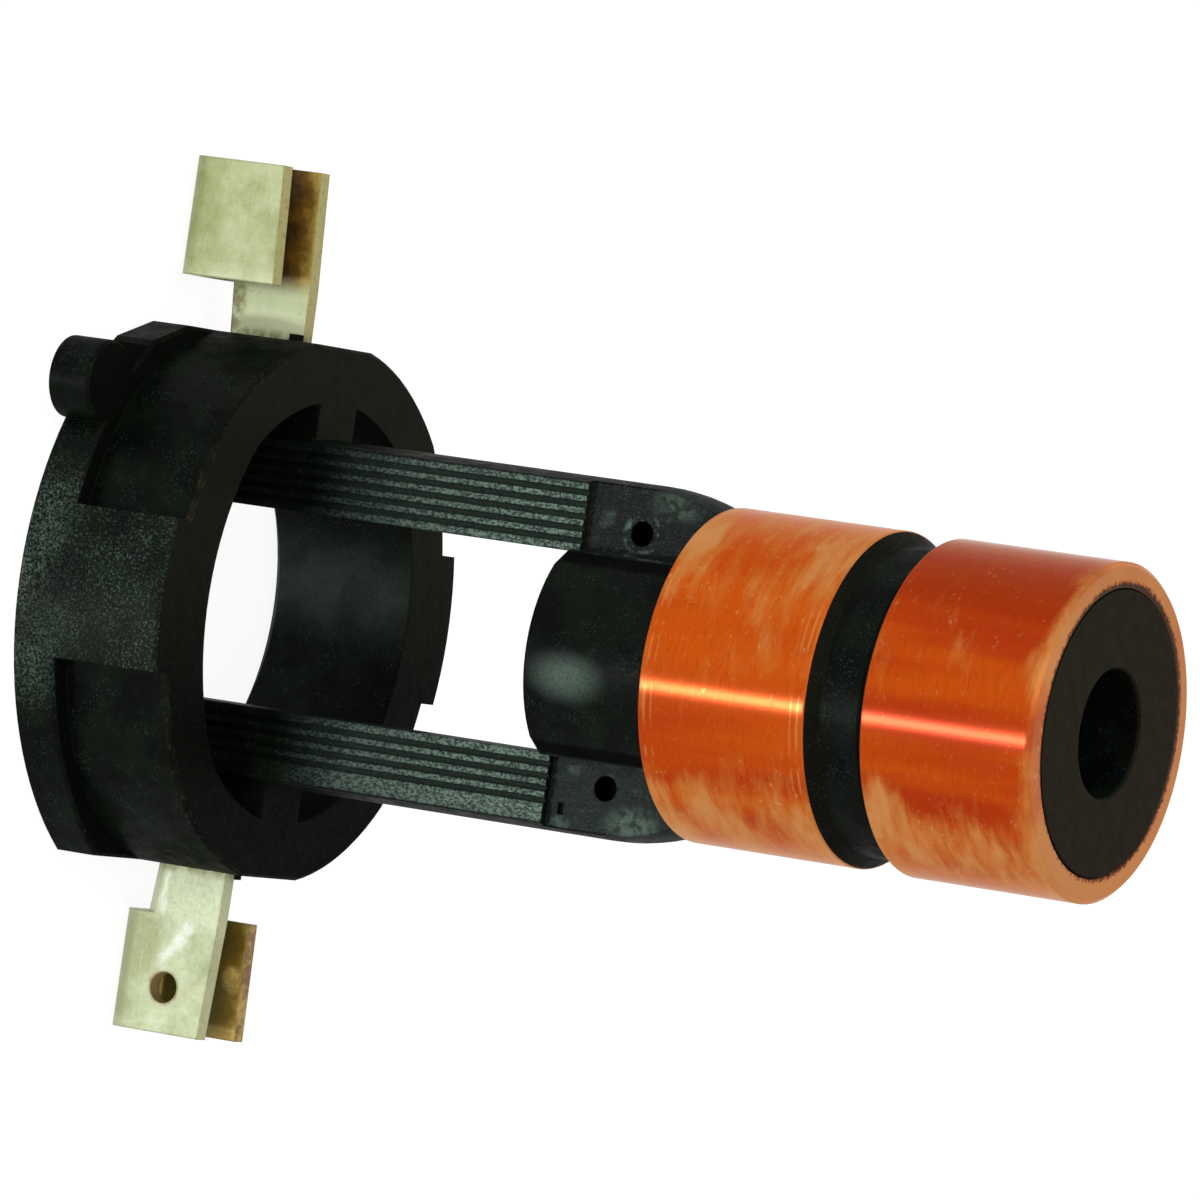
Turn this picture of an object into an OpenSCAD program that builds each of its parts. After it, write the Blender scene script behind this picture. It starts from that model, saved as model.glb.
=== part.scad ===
// Slip ring of an alternator rotor: a moulded insulator that carries two copper rings and two folded terminals.
// The shaft axis is Z. The collar's flat back face is at z = 0 and the rings are at the far end.
// The terminals lie along X, the pads of the collar along Y. All sizes are in millimetres.

/* [Shown piece] */

// Which piece to draw, or all of them

/* [Copper rings] */

// Outside diameter of both rings
ring_d = 15.8; // [15.4:0.1:16.4]
// Length of each ring along the shaft
ring_w = 8.7; // [7:0.05:10]
// Width of the insulating groove between the rings
ring_gap = 2.95; // [2:0.05:5]
// Wall thickness of the rings
ring_wall = 1.26; // [1:0.02:1.4]
// Chamfer at the front edge of the outer ring
ring_edge = 0.22; // [0.1:0.02:0.5]

/* [Hub] */

// Diameter of the shaft bore
bore_d = 6; // [5:0.1:6.4]
// Chamfer at both mouths of the shaft bore
bore_lead = 0.1; // [0.05:0.05:0.3]
// Diameter of the bare barrel behind the rings
barrel_d = 12.2; // [11.4:0.1:12.8]
// Half height of the barrel between the flats that the legs grow from
barrel_flat = 4.85; // [4.8:0.05:5.2]
// Length of the barrel behind the first ring
barrel_l = 7.2; // [6:0.1:9]
// Diameter of the floor of the groove between the rings
groove_d = 14.6; // [14.2:0.1:15.2]
// Length of the sloping flanks of that groove, along the shaft
groove_flank = 0.5; // [0.2:0.05:0.9]
// Depth of the locking ridge in the wall of each ring
lock_depth = 0.4; // [0.2:0.05:0.5]
// Width of the locking ridge in each ring
lock_w = 1.4; // [0.8:0.1:2]

/* [Legs] */

// Outside diameter over the two legs
leg_d = 16.8; // [16.4:0.1:17]
// Distance of the inner faces of the legs from the shaft axis
leg_inner = 4.75; // [4.5:0.05:4.75]
// Width of a leg over its ribs
leg_w = 4.8; // [4.4:0.1:5.4]
// Free length of the legs between the collar and the barrel
leg_l = 15.55; // [12:0.05:24]
// Pitch of the ribs on the sides of the legs
rib_pitch = 0.57; // [0.5:0.01:0.6]
// Depth of the grooves between the ribs
rib_depth = 0.22; // [0.1:0.02:0.3]
// How far the side of a block stands back from the ribs
block_step = 0.45; // [0.3:0.05:0.6]
// Diameter of the pin holes that reach the conductors
pin_hole_d = 1.2; // [0.8:0.1:1.4]

/* [Collar] */

// Thickness of the collar along the shaft
collar_t = 7.9; // [7.6:0.1:10]
// Thickness of the flange at the back of the collar
flange_t = 2.2; // [1.6:0.1:3]
// Half height of the collar at its flats, along X
collar_half_x = 12.78; // [12.4:0.02:13.2]
// Half width of the flange and of the two pads that run flush with it, along Y
flange_half_y = 13.45; // [13.2:0.05:13.7]
// Half width of the front of the collar between the pads, along Y
front_half_y = 12.3; // [11.8:0.05:12.6]
// Radius of the gently curved sides of the collar
side_r = 15.5; // [14.5:0.1:17]
// Radius that rounds the corners of the front of the collar
front_r = 13.02; // [13:0.02:13.4]
// Width of each pad
pad_w = 7.3; // [6:0.1:9]
// Radius of the collar's bore beside the legs
collar_bore_r = 10.15; // [9.9:0.05:10.4]
// Half width of the collar's bore, along Y
collar_bore_half_y = 9.25; // [9:0.05:9.6]
// Width of the webs that tie the legs to the collar
web_w = 3.3; // [2.6:0.1:4]
// Radius of the two round lugs beside the flange's corners
lug_r = 1.95; // [1.5:0.05:2]
// Chamfer at the front edges of the collar
collar_edge = 0.15; // [0.1:0.05:0.4]

/* [Terminals] */

// Thickness of the terminal sheet
sheet_t = 0.8; // [0.6:0.05:0.9]
// Clear slot inside each hook
hook_gap = 2.65; // [2:0.05:3]
// Distance of the outer ends of the hooks from the shaft axis
hook_end = 20.95; // [19:0.05:24]
// Height of a hook along X
hook_h = 5.7; // [4:0.05:6]
// Depth of a hook along the shaft
hook_l = 5.55; // [4.9:0.05:5.7]
// How much shorter a hook is at its outer end, along the shaft
hook_taper = 0.3; // [0.1:0.05:0.5]
// How much shorter the free side of the outer terminal's hook is beside its neck, along the shaft
outer_hook_short = 0.4; // [0.1:0.05:0.5]
// Outside radius of the bends of a hook
bend_r = 1.05; // [0.95:0.05:1.4]
// Diameter of the hole in the neck's side of a hook
hook_hole_d = 1.5; // [1:0.1:1.8]

/* [Hidden] */

$fn = 128;

// colours
BLACK = [0.13, 0.135, 0.13];
COPPER = [0.78, 0.42, 0.2];
TIN = [0.76, 0.78, 0.66];

// positions along the shaft
barrel_z = collar_t + leg_l;
ring_z = barrel_z + barrel_l;
groove_z = ring_z + ring_w;
outer_ring_z = groove_z + ring_gap;
end_z = outer_ring_z + ring_w;

// hub and rings
ring_r = ring_d / 2;
core_r = ring_r - ring_wall;
bore_r = bore_d / 2;
barrel_r = barrel_d / 2;
facet_y = 3.34;
facet_fall = [2.5, 3.85];
inner_edge = 0.12;
plain_edge = 0.05;

// legs, blocks and their ribs
leg_r = leg_d / 2;
block_w = leg_w - 2 * block_step;
block_round = 10;
block_round_l = 4.3;
block_round_z = ring_z - block_round_l;
first_groove = 5.275;
full_ribs = 5;
short_ribs = 4;
rib_slope = 0.17;
pin_hole_x = 6;
pin_hole_l = 2.95;
pin_hole_z = barrel_z + pin_hole_l;
mark_x = 7.24;
mark_l = 0.72;
mark_z = barrel_z + mark_l;
mark_size = [0.56, 0.3, 0.28];

// collar
reach = 40;
over = 1;
flange_edge = 0.15;
corner_angle = 18;
corner_half = 13.7;
bore_side_r = 12.7;
lead_h = 0.9;
lead_r = 9.7;
lug_at = [-9.55, -11.45];
lug_notch = [0.5, 1.75];
lug_notch_x = -7.2;
lug_root = 3;

// terminals and the strips inside the moulding
neck_z = 1.85;
neck_end_z = 5.65;
crease_w = 0.5;
crease_depth = 0.28;
crease_turn = 5;
crease_in = 1.2;
collar_top = min(collar_half_x, front_r);
crease_x = collar_top - crease_in;
hook_z = 0.05;
hook_start = hook_end - hook_h;
hook_mouth_z = hook_z + hook_l;
hook_bend_inside = bend_r - sheet_t;
hook_hole_l = 2.2;
hook_hole_x = hook_end - hook_hole_l;
hook_hole_z = 3.05;
strip_x = 5.45;
strip_w = 2.1;
strip_end_l = 0.7;
strip_end_in = 0.24;
strip_end_x = core_r - strip_end_in;
strip_end_z = ring_z - strip_end_l;
tail_x = 4.35;
tail_w = 1.45;
tail_turn_l = 1.2;
tail_turn_z = outer_ring_z - tail_turn_l;
contact_l = 3.4;
nib = [0.35, 0.6, 0.45];

// A disc on the XY plane with a chamfer round its front edge.
module chamfered_disc(r, h, c) {
    rotate_extrude()
        polygon([[0, 0], [r, 0], [r, h - c], [r - c, h], [0, h]]);
}

// A slab across the shaft, cut off square at plus and minus half_x, chamfered at its front edges.
module chamfered_slab(half_x, h, c) {
    rotate([90, 0, 0])
        linear_extrude(height = reach, center = true)
            polygon([
                [-half_x, 0],
                [half_x, 0],
                [half_x, h - c],
                [half_x - c, h],
                [c - half_x, h],
                [-half_x, h - c]
            ]);
}

// The body between two gently curved sides that are half_y from the axis.
module curved_sides(half_y, h, c) {
    intersection() {
        translate([0, side_r - half_y, 0])
            chamfered_disc(side_r, h, c);
        translate([0, half_y - side_r, 0])
            chamfered_disc(side_r, h, c);
    }
}

// Repeats its child on the opposite side of the shaft, turned half a revolution.
module both_sides() {
    for (turn = [0, 180])
        rotate([0, 0, turn])
            children();
}

module flange() {
    difference() {
        intersection() {
            curved_sides(flange_half_y, flange_t, flange_edge);
            chamfered_slab(collar_half_x, flange_t, flange_edge);
            rotate([0, 0, corner_angle])
                chamfered_slab(corner_half, flange_t, flange_edge);
        }
        both_sides()
            translate([lug_notch_x - lug_notch[0], -flange_half_y, -over])
                cube([lug_notch[0], lug_notch[1], flange_t + 2 * over]);
    }
    both_sides()
        translate([lug_at[0], lug_at[1], 0]) {
            chamfered_disc(lug_r, flange_t, flange_edge);
            translate([-lug_r, 0, 0])
                cube([lug_r, lug_root, flange_t - flange_edge]);
        }
}

module collar_front() {
    intersection() {
        curved_sides(front_half_y, collar_t, collar_edge);
        chamfered_slab(collar_half_x, collar_t, collar_edge);
        chamfered_disc(front_r, collar_t, collar_edge);
    }
}

module pads() {
    intersection() {
        curved_sides(flange_half_y, collar_t, collar_edge);
        translate([-pad_w / 2, -reach / 2, 0])
            cube([pad_w, reach, collar_t]);
    }
}

module collar_bore() {
    translate([0, 0, -over])
        linear_extrude(height = collar_t + 2 * over)
            intersection() {
                circle(r = collar_bore_r);
                translate([0, bore_side_r - collar_bore_half_y])
                    circle(r = bore_side_r);
                translate([0, collar_bore_half_y - bore_side_r])
                    circle(r = bore_side_r);
            }
    translate([0, 0, -lead_h])
        cylinder(r1 = lead_r + lead_h, r2 = lead_r - lead_h, h = 2 * lead_h);
}

module collar() {
    difference() {
        union() {
            flange();
            collar_front();
            pads();
        }
        collar_bore();
    }
    both_sides()
        translate([leg_inner + over, -web_w / 2, 0])
            cube([collar_bore_r - leg_inner, web_w, collar_t]);
}

// Cross-section of the leg on the +X side, with V grooves between its ribs.
module leg_section() {
    difference() {
        intersection() {
            circle(r = leg_r);
            translate([leg_inner, -leg_w / 2])
                square([leg_r, leg_w]);
        }
        for (i = [0 : full_ribs - 1])
            translate([first_groove + i * rib_pitch, leg_w / 2])
                polygon([[-rib_slope, over], [-rib_slope, 0], [0, -rib_depth], [rib_slope, 0], [rib_slope, over]]);
        for (i = [0 : short_ribs - 1])
            translate([first_groove + i * rib_pitch, -leg_w / 2])
                polygon([[-rib_slope, -over], [-rib_slope, 0], [0, rib_depth], [rib_slope, 0], [rib_slope, -over]]);
    }
}

// The block that each leg ends in, rounded down towards the first ring.
module block() {
    intersection() {
        rotate_extrude()
            difference() {
                translate([0, barrel_z - over])
                    square([leg_r, ring_z - barrel_z + over]);
                difference() {
                    translate([leg_r - block_round, block_round_z])
                        square([block_round + over, block_round]);
                    translate([leg_r - block_round, block_round_z])
                        circle(r = block_round);
                }
            }
        translate([leg_inner, -block_w / 2, barrel_z - over])
            cube([leg_r, block_w, ring_z]);
    }
}

// Holes left by the pins that hold the conductors while the moulding is made, and a small mark beside one.
module pin_marks() {
    translate([pin_hole_x, 0, pin_hole_z])
        rotate([90, 0, 0])
            cylinder(d = pin_hole_d, h = leg_w + 2 * over, center = true);
    translate([mark_x - mark_size[0] / 2, -block_w / 2 - over, mark_z - mark_size[1] / 2])
        cube([mark_size[0], mark_size[2] + over, mark_size[1]]);
}

module hub_profile() {
    lock_z = (ring_w - lock_w) / 2;
    difference() {
        union() {
            translate([0, barrel_z])
                square([barrel_r, barrel_l]);
            translate([0, ring_z])
                square([core_r, end_z - ring_z]);
            translate([0, groove_z])
                polygon([
                    [0, 0],
                    [ring_r - plain_edge, 0],
                    [groove_d / 2, groove_flank],
                    [groove_d / 2, ring_gap - groove_flank],
                    [ring_r - plain_edge, ring_gap],
                    [0, ring_gap]
                ]);
            for (z = [ring_z, outer_ring_z])
                translate([0, z + lock_z])
                    square([core_r + lock_depth, lock_w]);
        }
        translate([0, barrel_z - over])
            square([bore_r, end_z]);
        polygon([[0, barrel_z - over], [bore_r + bore_lead + over, barrel_z - over], [bore_r, barrel_z + bore_lead]]);
        polygon([[0, end_z + over], [bore_r + bore_lead + over, end_z + over], [bore_r, end_z - bore_lead]]);
    }
}

// Outline that cuts the barrel: two flats where the legs grow from it, and sloping facets beside them.
module barrel_outline() {
    top_x = barrel_flat - facet_fall[0];
    top_y = facet_y + facet_fall[1];
    polygon([
        [barrel_flat, -facet_y],
        [barrel_flat, facet_y],
        [top_x, top_y],
        [-top_x, top_y],
        [-barrel_flat, facet_y],
        [-barrel_flat, -facet_y],
        [-top_x, -top_y],
        [top_x, -top_y]
    ]);
}

module hub() {
    intersection() {
        rotate_extrude()
            hub_profile();
        union() {
            translate([0, 0, barrel_z])
                linear_extrude(height = barrel_l)
                    barrel_outline();
            translate([0, 0, ring_z])
                cylinder(r = ring_r, h = end_z - ring_z);
        }
    }
}

module moulding_blank() {
    collar();
    hub();
    both_sides() {
        linear_extrude(height = barrel_z)
            leg_section();
        block();
        translate([collar_top - over, sheet_t / 2, neck_end_z - nib[2]])
            cube([over + nib[0], nib[1], nib[2]]);
    }
}

module moulding() {
    color(BLACK)
        difference() {
            moulding_blank();
            both_sides()
                pin_marks();
            terminal_shape(inner_strip(), 180, 0);
            terminal_shape(outer_strip(), 0, outer_hook_short);
        }
}

module ring(z, front_edge) {
    lock_z = (ring_w - lock_w) / 2;
    translate([0, 0, z])
        rotate_extrude()
            polygon([
                [core_r + inner_edge, 0],
                [ring_r - plain_edge, 0],
                [ring_r, plain_edge],
                [ring_r, ring_w - front_edge],
                [ring_r - front_edge, ring_w],
                [core_r + inner_edge, ring_w],
                [core_r, ring_w - inner_edge],
                [core_r, lock_z + lock_w],
                [core_r + lock_depth, lock_z + lock_w],
                [core_r + lock_depth, lock_z],
                [core_r, lock_z],
                [core_r, inner_edge]
            ]);
}

module inner_ring() {
    color(COPPER)
        ring(ring_z, plain_edge);
}

module outer_ring() {
    color(COPPER)
        ring(outer_ring_z, ring_edge);
}

// Outline of the strip that runs inside a leg to the first ring, as points [x, z].
function inner_strip() = [
    [strip_x, neck_z],
    [strip_x, ring_z + contact_l],
    [ring_r, ring_z + contact_l],
    [ring_r, ring_z + inner_edge],
    [strip_end_x, ring_z + inner_edge],
    [strip_end_x, strip_end_z],
    [strip_x + strip_w, strip_end_z],
    [strip_x + strip_w, neck_z]
];

// Outline of the strip that dips under the first ring and comes up inside the second one, as points [x, z].
function outer_strip() = [
    [strip_x, neck_z],
    [strip_x, strip_end_z - strip_w],
    [tail_x, strip_end_z],
    [tail_x, outer_ring_z + contact_l],
    [ring_r, outer_ring_z + contact_l],
    [ring_r, outer_ring_z + inner_edge],
    [tail_x + tail_w, tail_turn_z],
    [tail_x + tail_w, strip_end_z],
    [strip_x + strip_w, strip_end_z - strip_w],
    [strip_x + strip_w, neck_z]
];

// Turns an outline in the XZ plane into sheet of the terminal's thickness.
module sheet(points) {
    rotate([90, 0, 0])
        linear_extrude(height = sheet_t, center = true)
            polygon(points);
}

// Section of a hook across X, as drawn in the YZ plane: two sides and a back, with rounded bends.
module hook_section() {
    width = hook_gap + 2 * sheet_t;
    translate([-sheet_t / 2, hook_z])
        difference() {
            union() {
                translate([0, bend_r])
                    square([width, hook_l - bend_r]);
                translate([bend_r, 0])
                    square([width - 2 * bend_r, hook_l]);
                for (y = [bend_r, width - bend_r])
                    translate([y, bend_r])
                        circle(r = bend_r);
            }
            translate([sheet_t, bend_r])
                square([hook_gap, hook_l]);
            translate([bend_r, sheet_t])
                square([width - 2 * bend_r, hook_l]);
            for (y = [bend_r, width - bend_r])
                translate([y, bend_r])
                    circle(r = hook_bend_inside);
        }
}

// Trims the sides of a hook that lie beyond y = from_y to their length, which is less at the hook's outer end.
module hook_mouth(from_y, short) {
    translate([0, from_y, 0])
        rotate([-90, 0, 0])
            linear_extrude(height = reach)
                polygon([
                    [hook_start - over, short - hook_mouth_z],
                    [hook_start, short - hook_mouth_z],
                    [hook_end, hook_taper - hook_mouth_z],
                    [hook_end + over, hook_taper - hook_mouth_z],
                    [hook_end + over, -hook_mouth_z - over],
                    [hook_start - over, -hook_mouth_z - over]
                ]);
}

// The folded hook at the end of a terminal; the free side is shorter by short beside the neck.
module hook(short) {
    difference() {
        translate([hook_start, 0, 0])
            rotate([90, 0, 90])
                linear_extrude(height = hook_h)
                    hook_section();
        translate([hook_hole_x, 0, hook_hole_z])
            rotate([90, 0, 0])
                cylinder(d = hook_hole_d, h = hook_gap, center = true);
        hook_mouth(-hook_gap, 0);
        hook_mouth(hook_gap / 2, short);
    }
}

// Narrow strip along the neck's back edge that is bent a little towards the hook's slot.
module neck_crease() {
    translate([crease_x - crease_w, 0, neck_z])
        rotate([0, crease_turn, 0])
            rotate([90, 0, 90])
                linear_extrude(height = hook_start - crease_x + crease_w + sheet_t)
                    polygon([
                        [-sheet_t / 2, 2 * crease_w],
                        [-sheet_t / 2, crease_w],
                        [crease_depth - sheet_t / 2, 0],
                        [crease_depth + sheet_t / 2, 0],
                        [sheet_t / 2, crease_w],
                        [sheet_t / 2, 2 * crease_w]
                    ]);
}

module terminal_shape(strip, turn, short) {
    rotate([0, 0, turn]) {
        difference() {
            sheet(strip);
            translate([0, 0, ring_z])
                difference() {
                    cylinder(r = reach, h = reach);
                    translate([0, 0, -over])
                        cylinder(r = core_r, h = reach + 2 * over);
                }
        }
        sheet([
            [strip_x, neck_z],
            [crease_x, neck_z],
            [crease_x, neck_z + crease_w],
            [hook_start + sheet_t, neck_z + crease_w],
            [hook_start + sheet_t, hook_mouth_z - hook_taper],
            [hook_start, hook_mouth_z],
            [crease_x, neck_end_z],
            [strip_x, neck_end_z]
        ]);
        neck_crease();
        hook(short);
    }
}

module inner_terminal() {
    color(TIN)
        terminal_shape(inner_strip(), 180, 0);
}

module outer_terminal() {
    color(TIN)
        terminal_shape(outer_strip(), 0, outer_hook_short);
}

moulding();
inner_ring();
outer_ring();
inner_terminal();
outer_terminal();
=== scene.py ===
"""Looks of an alternator slip ring: turned copper rings on black phenolic resin, with tin-plated terminals.

Metres, in the part's own frame: +Z runs along the shaft axis from the collar's back face to the rings' free
end, and the terminals lie along X. The materials place their masks in millimetres of the same frame.
"""

import math
from functools import cached_property

import bpy
from mathutils import Euler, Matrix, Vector


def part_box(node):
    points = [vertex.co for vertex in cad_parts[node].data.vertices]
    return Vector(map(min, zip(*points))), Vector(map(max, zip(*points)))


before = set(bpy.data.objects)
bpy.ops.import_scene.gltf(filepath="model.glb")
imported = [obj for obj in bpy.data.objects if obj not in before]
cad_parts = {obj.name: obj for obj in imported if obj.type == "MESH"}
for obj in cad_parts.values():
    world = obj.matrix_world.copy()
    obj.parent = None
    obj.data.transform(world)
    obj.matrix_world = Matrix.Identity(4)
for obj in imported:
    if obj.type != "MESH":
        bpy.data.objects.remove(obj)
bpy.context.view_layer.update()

MM = 0.001

# Sizes of the part that come from the frame, in millimetres
inner_low, inner_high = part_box("inner_ring")
outer_low, outer_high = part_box("outer_ring")
terminal_low, terminal_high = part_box("outer_terminal")
RING_R = inner_high.x / MM
INNER_START = inner_low.z / MM
INNER_END = inner_high.z / MM
OUTER_START = outer_low.z / MM
END_Z = outer_high.z / MM
GAP_Z = (INNER_END + OUTER_START) / 2
PAD_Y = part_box("moulding")[1].y / MM
SHEET_HALF = -terminal_low.y / MM
SLOT_FAR = terminal_high.y / MM - 2 * SHEET_HALF
HOOK_END = terminal_high.x / MM

# Sizes inside a node that its box doesn't give, in millimetres
HOOK_LENGTH = 5.7
HOOK_START = HOOK_END - HOOK_LENGTH
RING_WALL = 1.26
CORE_R = RING_R - RING_WALL
COLLAR_T = 7.9
COLLAR_HALF_X = 12.78
COLLAR_BORE_R = 10.15
BARREL_Z = 23.45
BARREL_R = 6.1
LEG_INNER = 4.75
LEG_R = 8.4
RIB_TOP = 2.4
RIB_FLOOR = 2.18
BLOCK_HALF = 1.95
PIN_HOLE_X = 6.0
PIN_HOLE_Z = 26.4
PIN_HOLE_R = 0.6
HOOK_HOLE_X = HOOK_END - 2.2
HOOK_HOLE_Z = 3.05
HOOK_HOLE_R = 0.75


def linear(r, g, b):
    """Colour written as 0-255 display values, turned into linear light."""
    out = []
    for v in (r, g, b):
        v = v / 255
        out.append(v / 12.92 if v <= 0.04045 else ((v + 0.055) / 1.055) ** 2.4)
    return (*out, 1.0)


class Nodes:
    """Small helper that adds shader nodes and links them in one call."""

    def __init__(self, name):
        self.material = bpy.data.materials.new(name)
        self.material.use_nodes = True
        self.tree = self.material.node_tree
        self.tree.nodes.clear()
        self.count = 0

    def add(self, kind, inputs=(), **settings):
        """A new node, set out on a grid. Inputs are values or sockets by name or number."""
        node = self.tree.nodes.new(kind)
        row, column = divmod(self.count, 12)
        node.location = (180 * column, -240 * row)
        self.count += 1
        for key, value in settings.items():
            setattr(node, key, value)
        for key, value in dict(inputs).items():
            self.feed(node, key, value)
        return node

    def feed(self, node, key, value):
        socket = node.inputs[key]
        if isinstance(value, bpy.types.NodeSocket):
            self.tree.links.new(value, socket)
        else:
            socket.default_value = value

    def math(self, operation, a, b=0.0, clamp=False):
        return self.add("ShaderNodeMath", {0: a, 1: b}, operation=operation, use_clamp=clamp).outputs[0]

    def chain(self, operation, values):
        """The same operation from the first value through to the last."""
        out = values[0]
        for value in values[1:]:
            out = self.math(operation, out, value)
        return out

    def times(self, *values):
        return self.chain("MULTIPLY", values)

    def plus(self, *values):
        return self.chain("ADD", values)

    def largest(self, *values):
        return self.chain("MAXIMUM", values)

    def smallest(self, *values):
        return self.chain("MINIMUM", values)

    def minus(self, a, b):
        return self.math("SUBTRACT", a, b)

    def opposite(self, mask):
        return self.minus(1.0, mask)

    def absolute(self, value):
        return self.math("ABSOLUTE", value)

    def apart(self, a, b):
        """How much a and b differ, without a sign."""
        return self.absolute(self.minus(a, b))

    def swing(self, noise, amount, middle=0.5):
        """Noise turned into a change to both sides of zero."""
        return self.times(self.minus(noise, middle), amount)

    def ramp(self, value, low, high, to_low=0.0, to_high=1.0):
        """Smooth step of value between low and high."""
        ends = {"From Min": low, "From Max": high, "To Min": to_low, "To Max": to_high}
        settings = {"interpolation_type": "SMOOTHSTEP", "clamp": True}
        return self.add("ShaderNodeMapRange", {"Value": value, **ends}, **settings).outputs["Result"]

    def mix(self, factor, a, b):
        node = self.add("ShaderNodeMix", data_type="RGBA")
        self.feed(node, 0, factor)
        self.feed(node, 6, a)
        self.feed(node, 7, b)
        return node.outputs[2]

    def split(self, vector):
        return self.add("ShaderNodeSeparateXYZ", {0: vector}).outputs

    def length(self, a, b):
        joined = self.add("ShaderNodeCombineXYZ", {0: a, 1: b}).outputs[0]
        return self.add("ShaderNodeVectorMath", {0: joined}, operation="LENGTH").outputs["Value"]

    def scaled(self, vector, size, shift=(0.0, 0.0, 0.0)):
        """Coordinates in units of size, which is one number or three."""
        size = size if isinstance(size, tuple) else (size, size, size)
        inputs = {"Vector": vector, "Location": shift, "Scale": tuple(1 / s for s in size)}
        return self.add("ShaderNodeMapping", inputs).outputs[0]

    def finished(self, shader):
        self.add("ShaderNodeOutputMaterial", {"Surface": shader.outputs[0]})
        return self.material


class PartNodes(Nodes):
    """Nodes of one of the part's materials, with the values that its masks start from, in millimetres."""

    def __init__(self, name):
        super().__init__(name)
        self.place = self.scaled(self.add("ShaderNodeTexCoord").outputs["Object"], MM)
        self.x, self.y, self.z = self.split(self.place)
        self.normal = self.add("ShaderNodeNewGeometry").outputs["True Normal"]
        self.normal_x, self.normal_y, self.normal_z = self.split(self.normal)

    @cached_property
    def out(self):
        """Distance from the axis along X, where the legs and terminals are."""
        return self.absolute(self.x)

    @cached_property
    def aside(self):
        """Distance from the axis along Y, where the pads are."""
        return self.absolute(self.y)

    @cached_property
    def radius(self):
        """Distance from the axis in any direction."""
        return self.length(self.x, self.y)

    def by_side(self, at_minus_x, at_plus_x):
        """One value on the -X leg or terminal and another on the +X one."""
        return self.ramp(self.x, -1.0, 1.0, at_minus_x, at_plus_x)

    def noise(self, size, detail=3.0, roughness=0.55, shift=(0.0, 0.0, 0.0)):
        """Noise with spots of about the given size, one number or three."""
        inputs = {"Vector": self.scaled(self.place, size, shift), "Scale": 1.0}
        inputs.update({"Detail": detail, "Roughness": roughness})
        return self.add("ShaderNodeTexNoise", inputs).outputs["Fac"]

    def soft_edges(self, radius):
        return self.add("ShaderNodeBevel", {"Radius": radius * MM}, samples=4).outputs[0]

    def edge_wear(self, radius, low, high):
        """1 on outer and inner edges, 0 on open faces."""
        vectors = {0: self.soft_edges(radius), 1: self.normal}
        dot = self.add("ShaderNodeVectorMath", vectors, operation="DOT_PRODUCT").outputs["Value"]
        return self.ramp(dot, high, low)

    def bump(self, height, distance, strength, edge_radius):
        inputs = {"Height": height, "Distance": distance * MM, "Strength": strength}
        inputs["Normal"] = self.soft_edges(edge_radius)
        return self.add("ShaderNodeBump", inputs).outputs["Normal"]

    def principled(self, inputs):
        return self.finished(self.add("ShaderNodeBsdfPrincipled", inputs))


# Colours of the resin
RESIN_DARK = linear(5, 8, 5)
RESIN_LIGHT = linear(16, 22, 15)
PAD_SKIN = linear(21, 29, 22)
PAD_GRAIN_AND_GLINT = linear(70, 84, 75)
PAD_PAINTED_GLINT = linear(96, 112, 102)
MOULD_LINE_HIGHLIGHT = linear(84, 94, 84)
LEG_SKIN = linear(25, 31, 28)
LEG_BACK = linear(12, 12, 8)
RIB_PAINTED_GLINT = linear(118, 141, 130)
GROOVE_PAINTED_LIGHT = linear(55, 67, 61)
SHADED_BLOCK = linear(14, 19, 16)
LIT_BLOCK = linear(38, 48, 42)
BLOCK_GLARE = linear(104, 124, 114)
OPENING_SHEEN = linear(50, 62, 54)
BARREL_SHEEN = linear(92, 110, 101)
FRONT_SHADED_BLACK = linear(7, 9, 8)
FRONT_LIT_BROWN = linear(25, 27, 21)
END_BROWN = linear(34, 30, 21)
END_GRAIN = linear(46, 40, 30)
FLANGE_FRONT_SHADE = linear(8, 10, 9)
CORNER_SHADE = linear(4, 5, 4)
FILLER_GRAIN = linear(80, 95, 87)
WORN_EDGE = linear(96, 83, 57)


def behind_rings(n):
    """1 between the collar and the rings, 0 on the core that carries them."""
    return n.ramp(n.z, INNER_START + 0.2, INNER_START)


def leg_mask(n):
    """The legs and the blocks at their ends, fading in away from the collar as painted shade of the
    collar's shadow on them.
    """
    beside_shaft = n.ramp(n.out, LEG_INNER - 0.05, LEG_INNER + 0.1)
    return n.times(beside_shaft, n.ramp(n.z, COLLAR_T + 0.1, COLLAR_T + 4.5), behind_rings(n))


def back_mask(n):
    """The round outer backs of the legs."""
    outermost = n.ramp(n.radius, LEG_R - 0.12, LEG_R - 0.02)
    return n.times(outermost, n.ramp(n.z, COLLAR_T, COLLAR_T + 4.1), behind_rings(n))


def from_pin_hole(n):
    return n.length(n.minus(n.out, PIN_HOLE_X), n.minus(n.z, PIN_HOLE_Z))


def rubbed_pads(n):
    """How rubbed the pads are, more in some places than in others."""
    pads = n.times(n.ramp(n.aside, PAD_Y - 1.8, PAD_Y - 0.1), n.ramp(n.out, 7.5, 5.5))
    uneven = n.ramp(n.noise(3.2, 3.0, 0.5, (2.0, 0.0, 4.0)), 0.36, 0.62, 0.3, 1.0)
    return n.times(pads, n.ramp(n.z, COLLAR_T + 1.0, COLLAR_T), uneven)


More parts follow.
